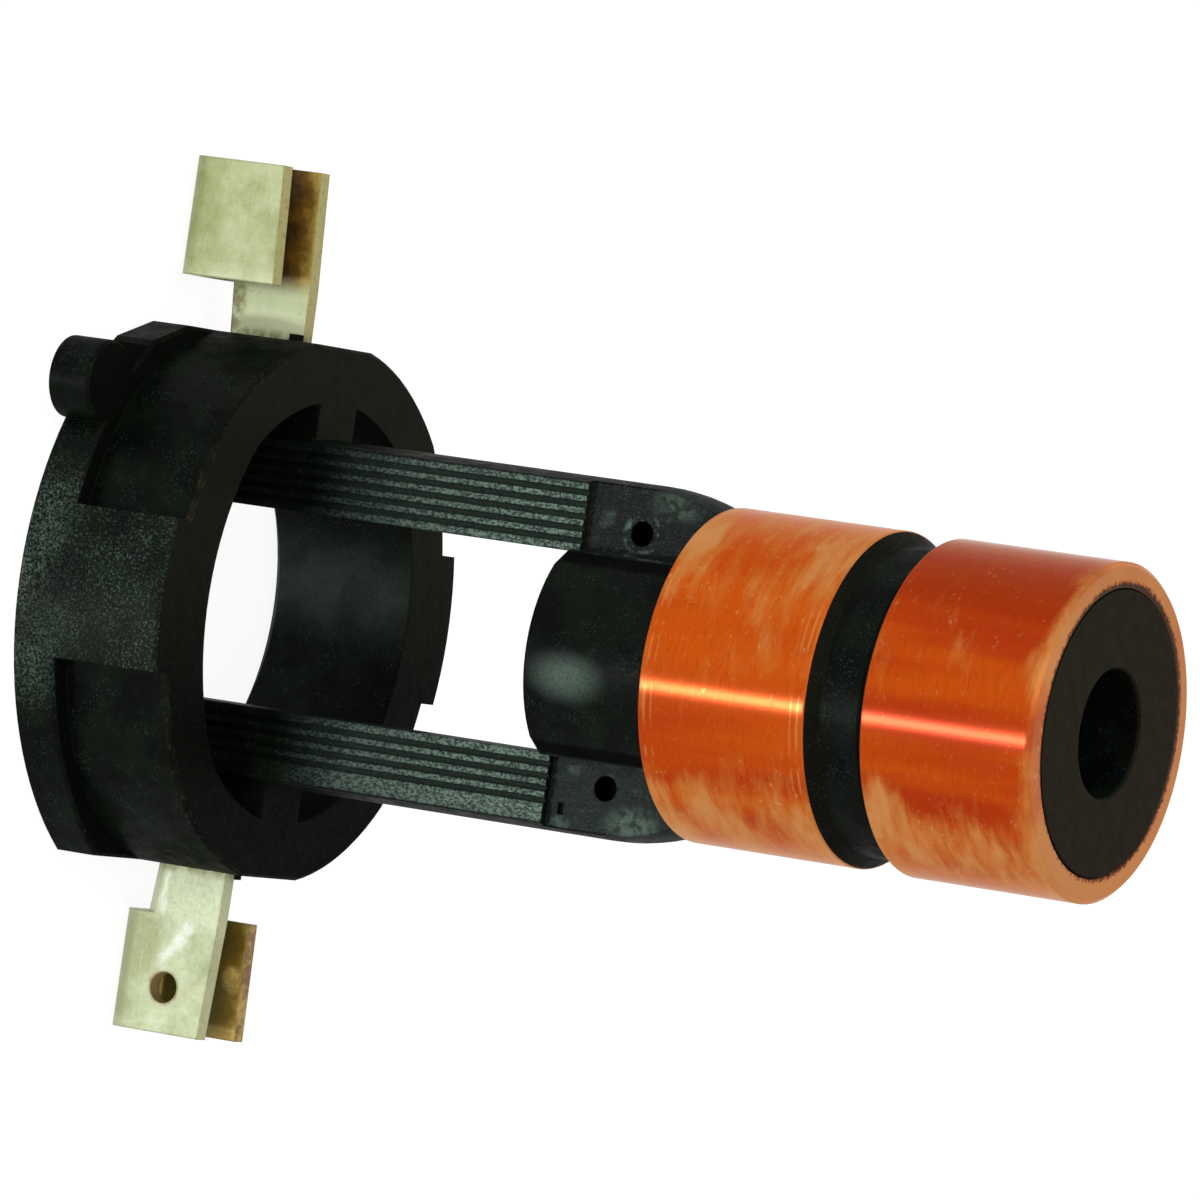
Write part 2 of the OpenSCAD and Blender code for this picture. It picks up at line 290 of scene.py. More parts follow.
def paint_pads(n, colour, rubbed, grain):
    """Paler than the rest, with pale grains and a coarse sparkle of painted highlight that are brightest
    towards the back of the collar.
    """
    colour = n.mix(n.times(rubbed, 0.6), colour, PAD_SKIN)
    # Painted highlight: the grains brighten, and a sparkle appears, towards the back of the collar
    grains = n.times(rubbed, n.ramp(n.z, 3.6, 1.0, 0.25, 1.0), n.ramp(grain, 0.46, 0.62))
    colour = n.mix(n.times(grains, 0.8), colour, PAD_GRAIN_AND_GLINT)
    sparkle = n.times(rubbed, n.ramp(n.z, 2.6, 0.6), n.ramp(grain, 0.48, 0.64))
    colour = n.mix(n.times(sparkle, 0.7), colour, PAD_PAINTED_GLINT)

    # A short mould line low on one pad, drawn as the bright line of light it catches, a painted highlight
    line_x = 6.2
    across_line = n.ramp(n.apart(n.x, line_x), 0.09, 0.03)
    along_line = n.times(n.ramp(n.z, 1.7, 2.0), n.ramp(n.z, 3.2, 2.9))
    line = n.times(across_line, along_line, n.ramp(n.y, 0.85 - PAD_Y, 0.45 - PAD_Y))
    return n.mix(n.times(line, 0.7), colour, MOULD_LINE_HIGHLIGHT)


def paint_ribs(n, colour, legs, grain):
    """The legs have a brighter skin. The tops of their ribs carry painted glints, fading as painted shade
    towards the collar and the legs' outer edges, and the groove floors are painted lighter as painted
    light.
    """
    colour = n.mix(n.times(legs, 0.8), colour, LEG_SKIN)
    ribbed = n.times(legs, n.ramp(n.z, BARREL_Z + 0.02, BARREL_Z))
    tops = n.times(ribbed, n.ramp(n.aside, RIB_TOP - 0.04, RIB_TOP - 0.005))
    # Painted shade: the glints fade towards the collar and towards the legs' outer edges
    lit = n.times(n.ramp(n.z, 9.0, 21.0, 0.35, 1.0), n.ramp(n.out, 7.5, 8.3, 1.0, 0.6))
    dashes = n.ramp(n.noise((0.09, 0.2, 0.15), 2.0, 0.65, (0.5, 2.5, 7.0)), 0.42, 0.6, 0.15, 1.0)
    colour = n.mix(n.times(tops, lit, dashes), colour, RIB_PAINTED_GLINT)
    # Painted light: the groove floors are lighter than the legs' skin
    floors = n.times(ribbed, n.ramp(n.aside, RIB_TOP - 0.01, RIB_FLOOR + 0.06))
    floors = n.times(floors, n.ramp(n.aside, BLOCK_HALF, BLOCK_HALF + 0.1))
    floors = n.times(floors, n.ramp(grain, 0.35, 0.6, 0.5, 1.0))
    return n.mix(n.times(floors, 0.9), colour, GROOVE_PAINTED_LIGHT)


def paint_blocks(n, colour, legs, grain):
    """Painted highlights on the blocks: a patchy glare, a pale rim of light round one pin hole and a bright
    smear beside the ring. The -X block is painted darker and the +X block paler, as painted shade and
    light.
    """
    blocks = n.times(legs, n.ramp(n.z, BARREL_Z, BARREL_Z + 0.6))
    blocks = n.times(blocks, n.ramp(n.aside, BLOCK_HALF - 0.1, BLOCK_HALF))
    # Painted shade and light: the -X block darker, the +X block paler
    colour = n.mix(n.times(blocks, 0.5), colour, n.mix(n.by_side(0.0, 1.0), SHADED_BLOCK, LIT_BLOCK))
    patches = n.ramp(n.noise((1.3, 1.3, 1.9), 3.0, 0.55, (1.1, 0.0, 6.2)), 0.57, 0.72, 0.0, 0.8)
    patches = n.times(patches, n.by_side(0.7, 1.0))
    # Painted highlight: a bright smear of glare beside the ring
    block_glare_x = 7.5
    block_glare_z = 28.1
    smear = n.length(n.minus(n.out, block_glare_x), n.times(n.minus(n.z, block_glare_z), 0.55))
    smear = n.times(n.ramp(smear, 1.1, 0.2), n.by_side(0.6, 1.0))
    smear = n.times(smear, n.ramp(n.noise(0.45, 3.0, 0.6, (2.2, 0.0, 5.1)), 0.38, 0.6, 0.15, 1.0))
    # Painted highlight: a pale rim of light round the -X block's pin hole
    rim = n.ramp(n.apart(from_pin_hole(n), PIN_HOLE_R + 0.2), 0.3, 0.05)
    rim = n.times(rim, n.ramp(n.noise(0.6, 2.0, 0.5, (6.0, 0.0, 2.0)), 0.5, 0.62), n.by_side(1.0, 0.0))
    glare = n.times(blocks, n.largest(patches, rim, smear))
    return n.mix(n.times(glare, n.ramp(grain, 0.3, 0.6, 0.4, 0.9)), colour, BLOCK_GLARE)


def paint_sheen(n, colour, cloud, grain):
    """Painted highlights: a greenish sheen on the far wall of the collar's opening, and another on the
    barrel's near side.
    """
    wall_x = -1.5
    wall = n.times(n.ramp(n.radius, COLLAR_BORE_R + 0.45, COLLAR_BORE_R + 0.25), n.ramp(n.y, 7.0, 9.0))
    wall = n.times(wall, n.ramp(n.z, COLLAR_T + 0.2, COLLAR_T), n.ramp(n.apart(n.x, wall_x), 3.4, 0.6))
    wall = n.times(wall, n.ramp(cloud, 0.0, 1.0, 0.5, 1.0))
    colour = n.mix(n.times(wall, 0.68), colour, OPENING_SHEEN)
    spot_x = 1.1
    spot_z = 25.7
    spot = n.length(n.minus(n.x, spot_x), n.times(n.minus(n.z, spot_z), 0.6))
    spot = n.times(n.ramp(spot, 1.5, 0.2), n.ramp(n.y, -3.0, -4.0))
    spot = n.times(spot, n.ramp(n.z, BARREL_Z, BARREL_Z + 0.3), n.ramp(n.z, INNER_START, INNER_START - 0.5))
    return n.mix(n.times(spot, n.ramp(grain, 0.3, 0.65, 0.5, 0.9)), colour, BARREL_SHEEN)


def front_colour(n, grain):
    """Faces across the shaft: brown and even at the end of the core, nearly black on the collar. On the
    collar they are painted darker towards +X, and darkest on the flange below its front, as painted shade.
    """
    # Painted shade: the collar's front faces darker towards +X
    colour = n.mix(n.ramp(n.x, 6.0, -6.0), FRONT_SHADED_BLACK, FRONT_LIT_BROWN)
    colour = n.mix(n.ramp(n.z, COLLAR_T + 1.0, END_Z - 1.0), colour, END_BROWN)
    colour = n.mix(n.ramp(grain, 0.45, 0.7, 0.0, 0.25), colour, END_GRAIN)
    # Painted shade on the flange's front faces below the collar's front
    return n.mix(n.ramp(n.z, COLLAR_T - 0.5, COLLAR_T - 1.3, 0.0, 0.85), colour, FLANGE_FRONT_SHADE)


def painted_shade_mask(n):
    """Painted shade: dark corners where the barrel's flats meet the blocks, and dark pin holes."""
    corner = n.times(n.ramp(n.out, 4.1, 4.3), n.ramp(n.out, LEG_INNER + 0.05, LEG_INNER - 0.1))
    corner = n.times(corner, n.ramp(n.z, BARREL_Z - 0.5, BARREL_Z + 0.4), behind_rings(n))
    hole = n.ramp(from_pin_hole(n), PIN_HOLE_R + 0.05, PIN_HOLE_R)
    hole = n.times(hole, n.ramp(n.aside, BLOCK_HALF, BLOCK_HALF - 0.15))
    return n.largest(n.times(corner, 0.85), hole)


def worn_collar_edge(n):
    """Broken wear along the front edge of the collar, strongest on the side towards -X and -Y."""
    wear = n.times(n.edge_wear(0.32, 0.8, 0.995), n.ramp(n.noise(0.5, 3.0, 0.75), 0.44, 0.66))
    wear = n.times(wear, n.ramp(n.z, COLLAR_T - 0.6, COLLAR_T - 0.3))
    wear = n.times(wear, n.ramp(n.z, COLLAR_T + 1.1, COLLAR_T + 0.6))
    wear = n.times(wear, n.ramp(n.radius, COLLAR_BORE_R + 0.85, COLLAR_BORE_R + 1.25))
    wear = n.times(wear, n.ramp(n.noise(2.2, 2.0, 0.6, (1.0, 4.0, 2.0)), 0.42, 0.6))
    wear = n.times(wear, n.ramp(n.aside, 3.0, 6.0))
    return n.times(wear, n.ramp(n.x, 1.0, -2.0, 0.5, 0.95), n.ramp(n.y, 2.0, -1.0, 0.25, 1.0))


def phenolic():
    """Black moulded resin: dull and mottled, with painted glints on the ribs, browner on faces across the
    shaft, and painted highlights and shade in places.
    """
    n = PartNodes("phenolic")
    cloud = n.ramp(n.noise(2.4, 4.0, 0.6), 0.35, 0.68)
    grain = n.noise(0.13, 3.0, 0.7)
    legs = leg_mask(n)
    backs = back_mask(n)
    rubbed = rubbed_pads(n)
    across = n.ramp(n.normal_z, 0.6, 0.95)
    # clean is 0 in the painted shade of the corners and pin holes
    clean = n.opposite(painted_shade_mask(n))

    colour = n.mix(cloud, RESIN_DARK, RESIN_LIGHT)
    colour = paint_pads(n, colour, rubbed, grain)
    colour = paint_ribs(n, colour, legs, grain)
    colour = paint_blocks(n, colour, legs, grain)
    colour = paint_sheen(n, colour, cloud, grain)
    colour = n.mix(n.times(backs, 0.85), colour, LEG_BACK)
    colour = n.mix(n.times(across, 0.95), colour, front_colour(n, grain))
    # Painted shade in the corners and pin holes
    colour = n.mix(clean, CORNER_SHADE, colour)

    # Pale grains of the filler, thick in places
    places = n.ramp(n.noise(1.4, 3.0, 0.65, (8.2, 1.7, 2.9)), 0.4, 0.66)
    on_skin = n.plus(n.times(legs, 0.25), n.times(rubbed, 0.8))
    thick = n.math("ADD", n.times(places, 0.25), on_skin, clamp=True)
    flecks = n.ramp(n.noise(0.11, 1.0, 0.5, (3.0, 8.0, 1.0)), 0.54, 0.7, 0.0, 0.85)
    flecks = n.times(flecks, thick, n.ramp(across, 1.0, 0.0, 0.2, 1.0), clean)
    colour = n.mix(flecks, colour, FILLER_GRAIN)
    colour = n.mix(worn_collar_edge(n), colour, WORN_EDGE)

    # The gloss is on faces towards the pads, most on the legs, and not in the painted shade of the corners
    # and pin holes or on the legs' backs
    barrel = n.ramp(n.radius, BARREL_R + 0.15, BARREL_R + 0.05)
    barrel = n.times(barrel, n.ramp(n.z, BARREL_Z - 0.1, BARREL_Z))
    gloss = n.plus(0.06, n.times(legs, 0.06), n.times(barrel, 0.01))
    gloss = n.times(gloss, clean, n.ramp(n.absolute(n.normal_y), 0.3, 0.8, 0.12, 1.0))
    gloss = n.times(gloss, n.ramp(across, 1.0, 0.0), n.ramp(backs, 1.0, 0.0))
    height = n.plus(grain, n.times(n.noise(0.7, 2.0, 0.5), 2.0))
    normal = n.bump(height, distance=0.02, strength=0.7, edge_radius=0.14)
    return n.principled(
        {
            "Base Color": colour,
            "Roughness": n.ramp(n.noise(0.8, 4.0, 0.65, (1.5, 5.0, 0.3)), 0.3, 0.75, 0.4, 0.6),
            "Normal": normal,
            "Specular IOR Level": 0.01,
            "Coat Weight": gloss,
            "Coat Roughness": 0.3,
            "Coat Normal": normal,
        }
    )


# Colours of the copper
BAND_DARK = linear(176, 49, 0)
BAND_LIGHT = linear(200, 78, 1)
INNER_BRIGHT = linear(214, 92, 3)
OUTER_PAINTED_SHADE = linear(156, 46, 0)
TURNED_LINE = linear(164, 42, 0)
VEIL_THIN = linear(207, 128, 56)
VEIL_THICK = linear(214, 152, 94)
VEIL_FLECK = linear(222, 158, 100)
SCORED_LINE = linear(220, 156, 90)
CUT_END = linear(194, 128, 78)
STAIN_RED = linear(112, 42, 16)
STAIN_DARK = linear(30, 24, 17)
RUBBED_EDGE = linear(206, 132, 74)


def veil_amount(n, side, inner, along, cloud):
    """A pale veil: thick towards +X, thin on the -X side of the inner ring, almost none between them."""
    thick = n.ramp(side, 0.4, 0.82, -0.02, 0.27)
    thin = n.times(n.ramp(side, -0.15, -0.85), n.plus(-0.04, n.times(inner, 0.27)))
    veil = n.plus(thick, thin, n.ramp(inner, 1.0, 0.0, 0.0, -0.05))
    near = n.ramp(n.y, 0.0, -2.0)
    bare = n.ramp(n.apart(side, n.ramp(inner, 0.0, 1.0, 0.14, 0.28)), 0.42, 0.12, 0.0, -0.12)
    veil = n.plus(veil, n.times(bare, near), n.ramp(along, 1.3, 0.2, 0.0, 0.09))
    rim = n.times(n.ramp(n.z, END_Z - 1.3, END_Z - 0.2, 0.0, 0.16), n.ramp(side, 0.95, 0.5, 0.5, 1.0))
    patch_x = 4.9
    patch_z = 43.5
    patch = n.length(n.minus(n.x, patch_x), n.minus(n.z, patch_z))
    veil = n.plus(veil, rim, n.times(n.ramp(patch, 1.9, 0.3, 0.0, 0.26), near))
    smear = n.noise((3.0, 3.0, 0.6), 3.0, 0.6, (7.3, 3.1, 0.4))
    mottle = n.plus(n.swing(cloud, 0.85), n.swing(smear, 0.65))
    return n.plus(veil, n.times(mottle, n.ramp(n.absolute(side), 0.8, 0.97, 1.0, 0.6)))


def paint_scores(n, colour, inner, along):
    """Scored lines beside the ends of the inner ring, broken along their way."""
    first = n.times(n.ramp(along, 0.24, 0.3), n.ramp(along, 0.42, 0.36))
    second = n.times(n.ramp(along, 0.62, 0.66), n.ramp(along, 0.76, 0.72))
    broken = n.ramp(n.noise((1.5, 1.5, 15.0), 2.0, 0.6, (0.3, 4.4, 9.0)), 0.42, 0.6)
    scores = n.times(n.plus(first, n.times(second, 0.7)), broken, n.ramp(n.normal_z, 0.3, 0.1))
    return n.mix(n.times(scores, inner, 0.4), colour, SCORED_LINE)


def paint_cut_end(n, colour, cloud):
    """The cut ends are paler, painted paler still away from the light and darker on their near side as
    painted light and shade, and stained red-brown in a ragged line by the resin.
    """
    # Painted light and shade: the cut ends paler towards +Y, darker towards -Y
    ends = n.times(n.ramp(n.normal_z, 0.5, 0.9), n.ramp(n.y, 1.0 - RING_R, 3.4 - RING_R, 0.35, 1.0))
    ends = n.times(ends, n.ramp(cloud, 0.3, 0.7, 0.8, 1.0))
    colour = n.mix(n.times(ends, 0.9), colour, CUT_END)
    stain_shift = 0.1
    radius = n.length(n.plus(n.x, stain_shift), n.minus(n.y, stain_shift))
    past_core = n.minus(n.minus(radius, CORE_R), n.swing(n.noise(0.3, 3.0, 0.8), 0.8))
    colour = n.mix(n.times(n.ramp(past_core, 0.38, 0.22), 0.9), colour, STAIN_RED)
    return n.mix(n.ramp(past_core, 0.22, 0.14), colour, STAIN_DARK)


def copper():
    """Bare turned copper: deep orange, with a paler rubbed veil, turning lines and pale scored edges."""
    n = PartNodes("copper")
    side = n.math("DIVIDE", n.x, RING_R)
    inner = n.ramp(n.z, GAP_Z + 0.5, GAP_Z - 0.5)
    to_inner_ends = n.smallest(n.apart(n.z, INNER_START), n.apart(n.z, INNER_END))
    along = n.smallest(to_inner_ends, n.apart(n.z, OUTER_START), n.apart(n.z, END_Z))
    lines = n.noise((0.75, 0.75, 0.09), 3.0, 0.75)
    bands = n.noise((2.1, 2.1, 17.5), 3.0, 0.5, (4.0, 2.0, 1.0))
    cloud = n.noise((3.4, 3.4, 1.7), 3.0, 0.55, (2.3, 9.1, 4.4))

    colour = n.mix(n.ramp(bands, 0.32, 0.68), BAND_DARK, BAND_LIGHT)
    colour = n.mix(n.times(inner, n.ramp(side, 0.05, 0.3, 0.55, 0.1)), colour, INNER_BRIGHT)
    # Painted shade on the -X side of the outer ring
    colour = n.mix(n.times(n.opposite(inner), n.ramp(side, -0.4, -0.8), 0.7), colour, OUTER_PAINTED_SHADE)
    colour = n.mix(n.ramp(lines, 0.5, 0.3, 0.0, 0.45), colour, TURNED_LINE)
    veil = veil_amount(n, side, inner, along, cloud)
    colour = n.mix(n.ramp(veil, -0.05, 0.38, 0.0, 0.82), colour, VEIL_THIN)
    colour = n.mix(n.ramp(veil, 0.16, 0.5, 0.0, 0.6), colour, VEIL_THICK)
    flecks = n.ramp(n.noise((0.42, 0.42, 0.2625), 3.0, 0.65, (1.9, 6.6, 3.3)), 0.6, 0.74)
    colour = n.mix(n.times(flecks, n.ramp(veil, -0.1, 0.1, 0.2, 0.6)), colour, VEIL_FLECK)
    colour = paint_scores(n, colour, inner, along)
    colour = paint_cut_end(n, colour, cloud)
    colour = n.mix(n.times(n.edge_wear(0.16, 0.75, 0.98), 0.35), colour, RUBBED_EDGE)
    height = n.plus(n.times(lines, 0.6), n.times(bands, 0.4))
    return n.principled(
        {
            "Base Color": colour,
            "Metallic": 0.25,
            "Roughness": n.ramp(veil, 0.0, 0.35, 0.19, 0.32),
            "Normal": n.bump(height, distance=0.006, strength=0.5, edge_radius=0.16),
            "Specular IOR Level": 0.06,
            "Specular Tint": (1.0, 0.66, 0.36, 1.0),
            "Coat Weight": n.ramp(n.absolute(side), 0.75, 0.35, 0.004, 0.09),
            "Coat Roughness": 0.17,
            "Anisotropic": 0.6,
            "Anisotropic Rotation": 0.25,
            "Tangent": n.add("ShaderNodeTangent", direction_type="RADIAL", axis="Z").outputs[0],
        }
    )


# Colours of the tin plate
TIN_MINUS_X = linear(208, 218, 174)
TIN_PLUS_X = linear(212, 221, 186)
DULL_MINUS_X = linear(150, 156, 98)
DULL_PLUS_X = linear(168, 176, 132)
STREAK = linear(206, 212, 180)
OLIVE_FLECK = linear(132, 128, 66)
SHADOW_FILL_TIN = linear(230, 240, 198)
TIN_PAINTED_GLINT = linear(240, 244, 232)
CUT_OLIVE = linear(166, 158, 94)
CUT_BROWN = linear(118, 76, 22)
CUT_TAN = linear(184, 152, 74)
CUT_RUST = linear(124, 100, 40)
SLOT_DEEP_SHADE = linear(58, 32, 1)
SLOT_BROWN = linear(128, 88, 6)
SLOT_GOLD_LIGHT = linear(196, 168, 80)
SLOT_OLIVE = linear(160, 148, 46)
FOOT_DIRT = linear(116, 106, 42)
EDGE_DIRT = linear(140, 122, 62)
HOLE_STAIN = linear(138, 94, 28)
IN_RESIN = linear(5, 5, 3)


def plate_colour(n, cloud, grain, streak):
    """The open faces: greenish cream, duller on the hooks and towards the back, with streaks and flecks."""
    dulled = n.times(n.ramp(n.out, HOOK_START - 0.3, HOOK_START + 0.9), 0.45)

    # Painted shade: a duller patch low on the +X hook, beside its crease
    crease_shade = n.times(n.ramp(n.z, 2.8, 2.0, 0.0, 0.42), n.ramp(n.x, 15.0, 15.6), n.ramp(n.x, 18.6, 17.0))
    dulled = n.plus(dulled, n.ramp(n.z, 3.0, 0.6, 0.0, 0.4), crease_shade)
    dulled = n.math("ADD", dulled, n.swing(cloud, n.by_side(1.3, 2.0)), clamp=True)
    clean = n.mix(n.by_side(0.0, 1.0), TIN_MINUS_X, TIN_PLUS_X)
    dull = n.mix(n.by_side(0.0, 1.0), DULL_MINUS_X, DULL_PLUS_X)
    colour = n.mix(dulled, clean, dull)
    colour = n.mix(n.times(n.ramp(streak, 0.54, 0.74), 0.35), colour, STREAK)
    flecks = n.times(n.ramp(grain, 0.56, 0.74), n.ramp(cloud, 0.4, 0.6, 0.15, 0.75), n.by_side(1.0, 0.25))
    return n.mix(flecks, colour, OLIVE_FLECK)


def paint_cut_edges(n, colour, cut, across):
    """Cut edges: olive tan with brown specks, browner on the free side of the +X hook."""
    colour = n.mix(n.times(cut, n.by_side(0.88, 0.4)), colour, CUT_OLIVE)
    free_side = n.times(n.ramp(across, SLOT_FAR - 0.45, SLOT_FAR - 0.15), n.by_side(0.0, 0.9))
    tan = n.mix(n.ramp(n.noise(0.7, 3.0, 0.65, (2.0, 5.0, 6.0)), 0.38, 0.62), CUT_BROWN, CUT_TAN)
    colour = n.mix(n.times(cut, free_side), colour, tan)
    rust = n.times(n.ramp(n.noise(0.28, 3.0, 0.7, (4.0, 4.0, 1.0)), 0.5, 0.7), n.by_side(0.55, 0.25))
    return n.mix(n.times(cut, rust), colour, CUT_RUST)


def paint_slot(n, colour, cut, across):
    """Inside the slot the plate is stained brown, painted darker deeper in as painted shade and golden
    towards the mouth as painted light.
    """
    slot = n.times(n.ramp(across, SHEET_HALF - 0.03, SHEET_HALF), n.ramp(across, SLOT_FAR + 0.05, SLOT_FAR))
    in_hook = n.largest(n.ramp(n.out, HOOK_START - 0.5, HOOK_START + 0.7), n.ramp(across, 1.5, 2.5))
    walls = n.times(n.ramp(cut, 0.9, 0.3), n.ramp(n.absolute(n.normal_x), 0.9, 0.6))
    depth = n.plus(n.z, n.swing(n.noise(0.9, 3.0, 0.65, (5.0, 1.0, 3.0)), 2.2))
    # Painted shade deeper in the slot, painted light towards its mouth
    brown = n.mix(n.ramp(depth, 3.8, 4.8), SLOT_DEEP_SHADE, SLOT_BROWN)
    brown = n.mix(n.ramp(depth, 4.7, 5.6), brown, SLOT_GOLD_LIGHT)
    brown = n.mix(n.by_side(0.0, 0.25), brown, SLOT_OLIVE)
    return n.mix(n.times(slot, in_hook, walls, 0.96), colour, brown)


def paint_dirt(n, colour, cut, cloud):
    """The root of the -X neck is painted paler, as painted light against the collar's shadow. Dirt lies at
    the resin, along that neck's edge, on bends and in the holes.
    """
    # Painted light: paler tin where the collar's shadow falls on the -X neck's root
    shadow_fill = n.times(n.ramp(n.out, 14.6, 13.6), n.by_side(1.0, 0.0), n.ramp(cut, 1.0, 0.0))
    colour = n.mix(n.times(shadow_fill, 0.8), colour, SHADOW_FILL_TIN)
    blots = n.ramp(n.noise(0.5, 3.0, 0.65, (3.0, 1.0, 7.0)), 0.35, 0.6)
    foot = n.times(n.ramp(n.out, COLLAR_HALF_X + 0.6, COLLAR_HALF_X), n.ramp(blots, 0.0, 1.0, 0.35, 1.0))
    strip = n.times(n.ramp(n.z, 2.4, 1.8), n.ramp(n.x, -12.0, -12.5), n.ramp(n.out, 15.3, 15.0))
    strip = n.times(strip, n.ramp(blots, 0.0, 1.0, 0.25, 0.9))
    colour = n.mix(n.times(n.largest(foot, strip), 0.8), colour, FOOT_DIRT)
    broken = n.ramp(n.noise(0.4, 3.0, 0.7, (1.0, 6.0, 2.0)), 0.4, 0.6)
    colour = n.mix(n.times(n.edge_wear(0.16, 0.7, 0.97), broken, 0.5), colour, EDGE_DIRT)
    hole = n.length(n.minus(n.out, HOOK_HOLE_X), n.minus(n.z, HOOK_HOLE_Z))
    ring = n.ramp(n.apart(hole, HOOK_HOLE_R + 0.03), 0.2, 0.02)
    ring = n.times(ring, n.ramp(cloud, 0.35, 0.65, 0.0, 0.6))
    bore = n.ramp(hole, HOOK_HOLE_R + 0.02, HOOK_HOLE_R - 0.01, 0.0, 0.9)
    in_sheet = n.ramp(n.aside, SHEET_HALF + 0.2, SHEET_HALF + 0.1)
    return n.mix(n.times(n.largest(bore, ring), in_sheet), colour, HOLE_STAIN)


def paint_glints(n, colour):
    """Two painted highlights on the near face of the +X terminal: a glint on its hook, and a bright line
    along a fold on its neck.
    """
    near_face = n.times(n.ramp(n.normal_y, -0.5, -0.9), n.ramp(n.y, 0.2, 0.0))
    glint_x = 16.6
    glint_z = 3.4
    slope_x = 0.8
    slope_z = -0.6
    dx = n.minus(n.x, glint_x)
    dz = n.minus(n.z, glint_z)
    on_line = n.absolute(n.plus(n.times(dx, slope_x), n.times(dz, slope_z)))
    off_line = n.absolute(n.minus(n.times(dz, slope_x), n.times(dx, slope_z)))
    off_line = n.plus(off_line, n.swing(n.noise(0.8, 2.0, 0.6), 0.9, 0.45))
    glint = n.times(n.ramp(off_line, 0.56, 0.1), n.ramp(on_line, 1.7, 0.8))
    fold_z = 2.42
    bent = n.plus(n.z, n.swing(n.noise(1.0, 2.0, 0.6), 0.5))
    fold = n.times(n.ramp(n.x, 15.5, 14.9), n.ramp(n.x, 13.0, 13.5))
    fold = n.times(fold, n.ramp(n.apart(bent, fold_z), 0.24, 0.04))
    return n.mix(n.times(n.largest(glint, n.times(fold, 0.8)), near_face, 0.85), colour, TIN_PAINTED_GLINT)


def tin_plate():
    """Tin plate gone satin: greenish cream, mottled, olive at the cut edges, stained brown in the hook."""
    n = PartNodes("tin_plate")
    across = n.times(n.y, n.math("SIGN", n.x))
    cut = n.ramp(n.normal_z, 0.6, 0.9)
    cloud = n.noise(1.5, 4.0, 0.6)
    grain = n.noise(0.16, 3.0, 0.7)
    streak = n.noise((1.6, 0.5, 0.22), 3.0, 0.6, (2.0, 2.0, 5.0))
    colour = plate_colour(n, cloud, grain, streak)
    colour = paint_cut_edges(n, colour, cut, across)
    colour = paint_slot(n, colour, cut, across)
    colour = paint_dirt(n, colour, cut, cloud)
    colour = paint_glints(n, colour)
    colour = n.mix(n.ramp(n.out, COLLAR_HALF_X - 0.3, COLLAR_HALF_X - 0.6), colour, IN_RESIN)
    height = n.plus(n.times(cloud, 0.8), n.times(grain, 0.2), n.times(streak, 0.3))
    return n.principled(
        {
            "Base Color": colour,
            "Metallic": 0.25,
            "Roughness": n.ramp(grain, 0.3, 0.7, 0.34, 0.5),
            "Normal": n.bump(height, distance=0.025, strength=0.5, edge_radius=0.18),
            "Specular IOR Level": 0.3,
        }
    )


def dress(nodes, material):
    """Gives nodes of the part their material."""
    for node in nodes:
        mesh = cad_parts[node].data
        if not mesh.materials:
            mesh.materials.append(material)
        for i in range(len(mesh.materials)):
            mesh.materials[i] = material


dress(["moulding"], phenolic())
dress(["inner_ring", "outer_ring"], copper())
dress(["inner_terminal", "outer_terminal"], tin_plate())

# Levels of white: as the camera and reflections see it, and as light on dull surfaces
SKY_SEEN = 1.0
SKY_LIT = 0.62
FLOOR_SEEN = 0.9
FLOOR_LIT = 0.35
WHITE = (1.0, 1.0, 1.0, 1.0)
PAPER = (0.2, 0.2, 0.2, 1.0)


def level_for(tree, seen, lit):
    """One level for what the camera and the reflections see, and another for the light on dull surfaces."""
    path = tree.nodes.new("ShaderNodeLightPath")
    total = path.outputs["Is Camera Ray"]
    for ray in ("Is Glossy Ray", "Is Transmission Ray"):
        either = tree.nodes.new("ShaderNodeMath")
        either.operation = "MAXIMUM"
        tree.links.new(total, either.inputs[0])
        tree.links.new(path.outputs[ray], either.inputs[1])
        total = either.outputs[0]
    level = tree.nodes.new("ShaderNodeMapRange")
    level.inputs["To Min"].default_value = lit
    level.inputs["To Max"].default_value = seen
    tree.links.new(total, level.inputs["Value"])
    return level.outputs["Result"]


def make_sky():
    world = bpy.data.worlds.new("studio")
    bpy.context.scene.world = world
    world.use_nodes = True
    tree = world.node_tree
    sky = tree.nodes["Background"]
    sky.inputs["Color"].default_value = WHITE
    tree.links.new(level_for(tree, SKY_SEEN, SKY_LIT), sky.inputs["Strength"])


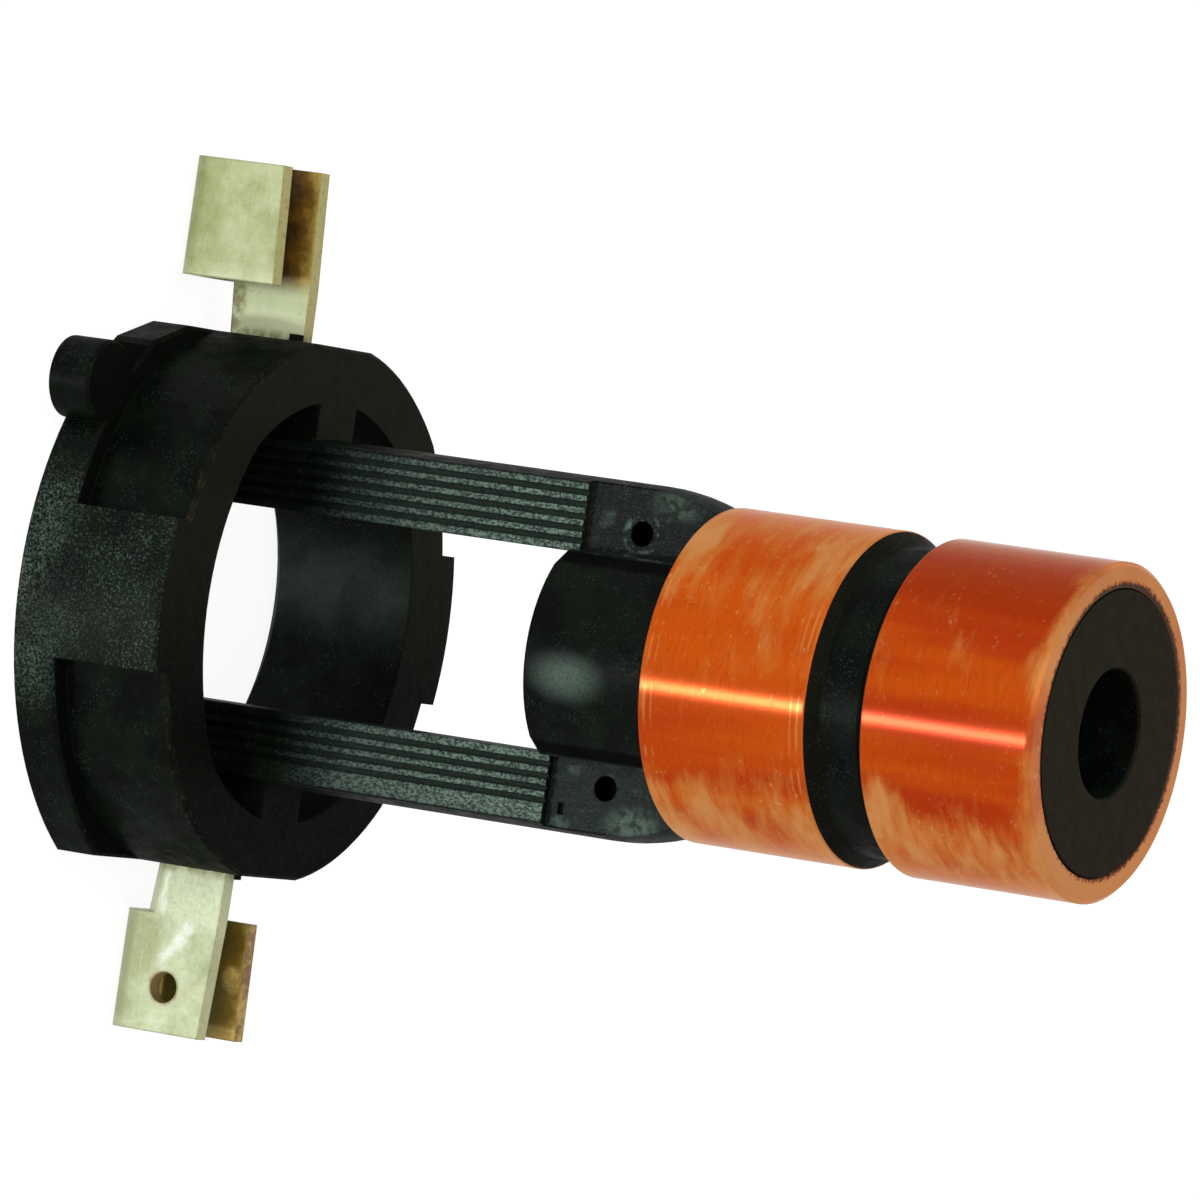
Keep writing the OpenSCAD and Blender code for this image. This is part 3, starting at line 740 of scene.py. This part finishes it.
def make_floor(half, drop):
    """White sheet under the part. It keeps a faint shadow, and lets the low lamp's light through."""
    mesh = bpy.data.meshes.new("floor")
    corners = [(-half, -half, -drop), (half, -half, -drop), (half, half, -drop), (-half, half, -drop)]
    mesh.from_pydata(corners, [], [(0, 1, 2, 3)])
    floor = bpy.data.objects.new("floor", mesh)
    bpy.context.scene.collection.objects.link(floor)
    n = Nodes("floor")
    level = level_for(n.tree, FLOOR_SEEN, FLOOR_LIT)
    glow = n.add("ShaderNodeEmission", {"Color": WHITE, "Strength": level})
    paper = n.add("ShaderNodeBsdfDiffuse", {"Color": PAPER})
    both = n.add("ShaderNodeAddShader", {0: glow.outputs[0], 1: paper.outputs[0]})
    clear = n.add("ShaderNodeBsdfTransparent")
    shadow_ray = n.add("ShaderNodeLightPath").outputs["Is Shadow Ray"]
    through = n.add("ShaderNodeMixShader", {0: shadow_ray, 1: both.outputs[0], 2: clear.outputs[0]})
    mesh.materials.append(n.finished(through))


def lamp(name, toward, energy, angle, colour):
    """A soft distant lamp; toward is the direction from the part to the lamp."""
    data = bpy.data.lights.new(name, "SUN")
    data.energy = energy
    data.angle = math.radians(angle)
    data.color = colour
    light = bpy.data.objects.new(name, data)
    bpy.context.scene.collection.objects.link(light)
    light.rotation_euler = Vector(toward).to_track_quat("Z", "Y").to_euler()
    light.location = Vector(toward).normalized()


def make_camera(place, turn, lens):
    """A long lens at the photograph's angle; turn is in degrees."""
    data = bpy.data.cameras.new("camera")
    data.sensor_width = 36.0
    data.lens = lens
    data.clip_start = 0.01
    data.clip_end = 20.0
    camera = bpy.data.objects.new("camera", data)
    bpy.context.scene.collection.objects.link(camera)
    camera.location = place
    camera.rotation_euler = Euler([math.radians(angle) for angle in turn], "XYZ")
    bpy.context.scene.camera = camera


make_sky()
make_floor(half=3.0, drop=0.02 * MM)
lamp("key", toward=(0.196, -0.86, -0.47), energy=0.55, angle=4.4, colour=(0.97, 1.0, 0.98))
lamp("front", toward=(-0.1, -0.9, 0.1), energy=0.82, angle=100, colour=(1.0, 1.0, 0.98))
lamp("top", toward=(-0.25, -0.15, 0.95), energy=0.5, angle=30, colour=(1.0, 0.88, 0.7))
lamp("back", toward=(-0.5, 0.8, -0.15), energy=0.5, angle=60, colour=(1.0, 1.0, 1.0))
make_camera(place=(-0.004335, -0.409228, 0.254212), turn=(-14.432, -59.5369, 106.3907), lens=300.0)
bpy.context.scene.view_settings.view_transform = "Standard"
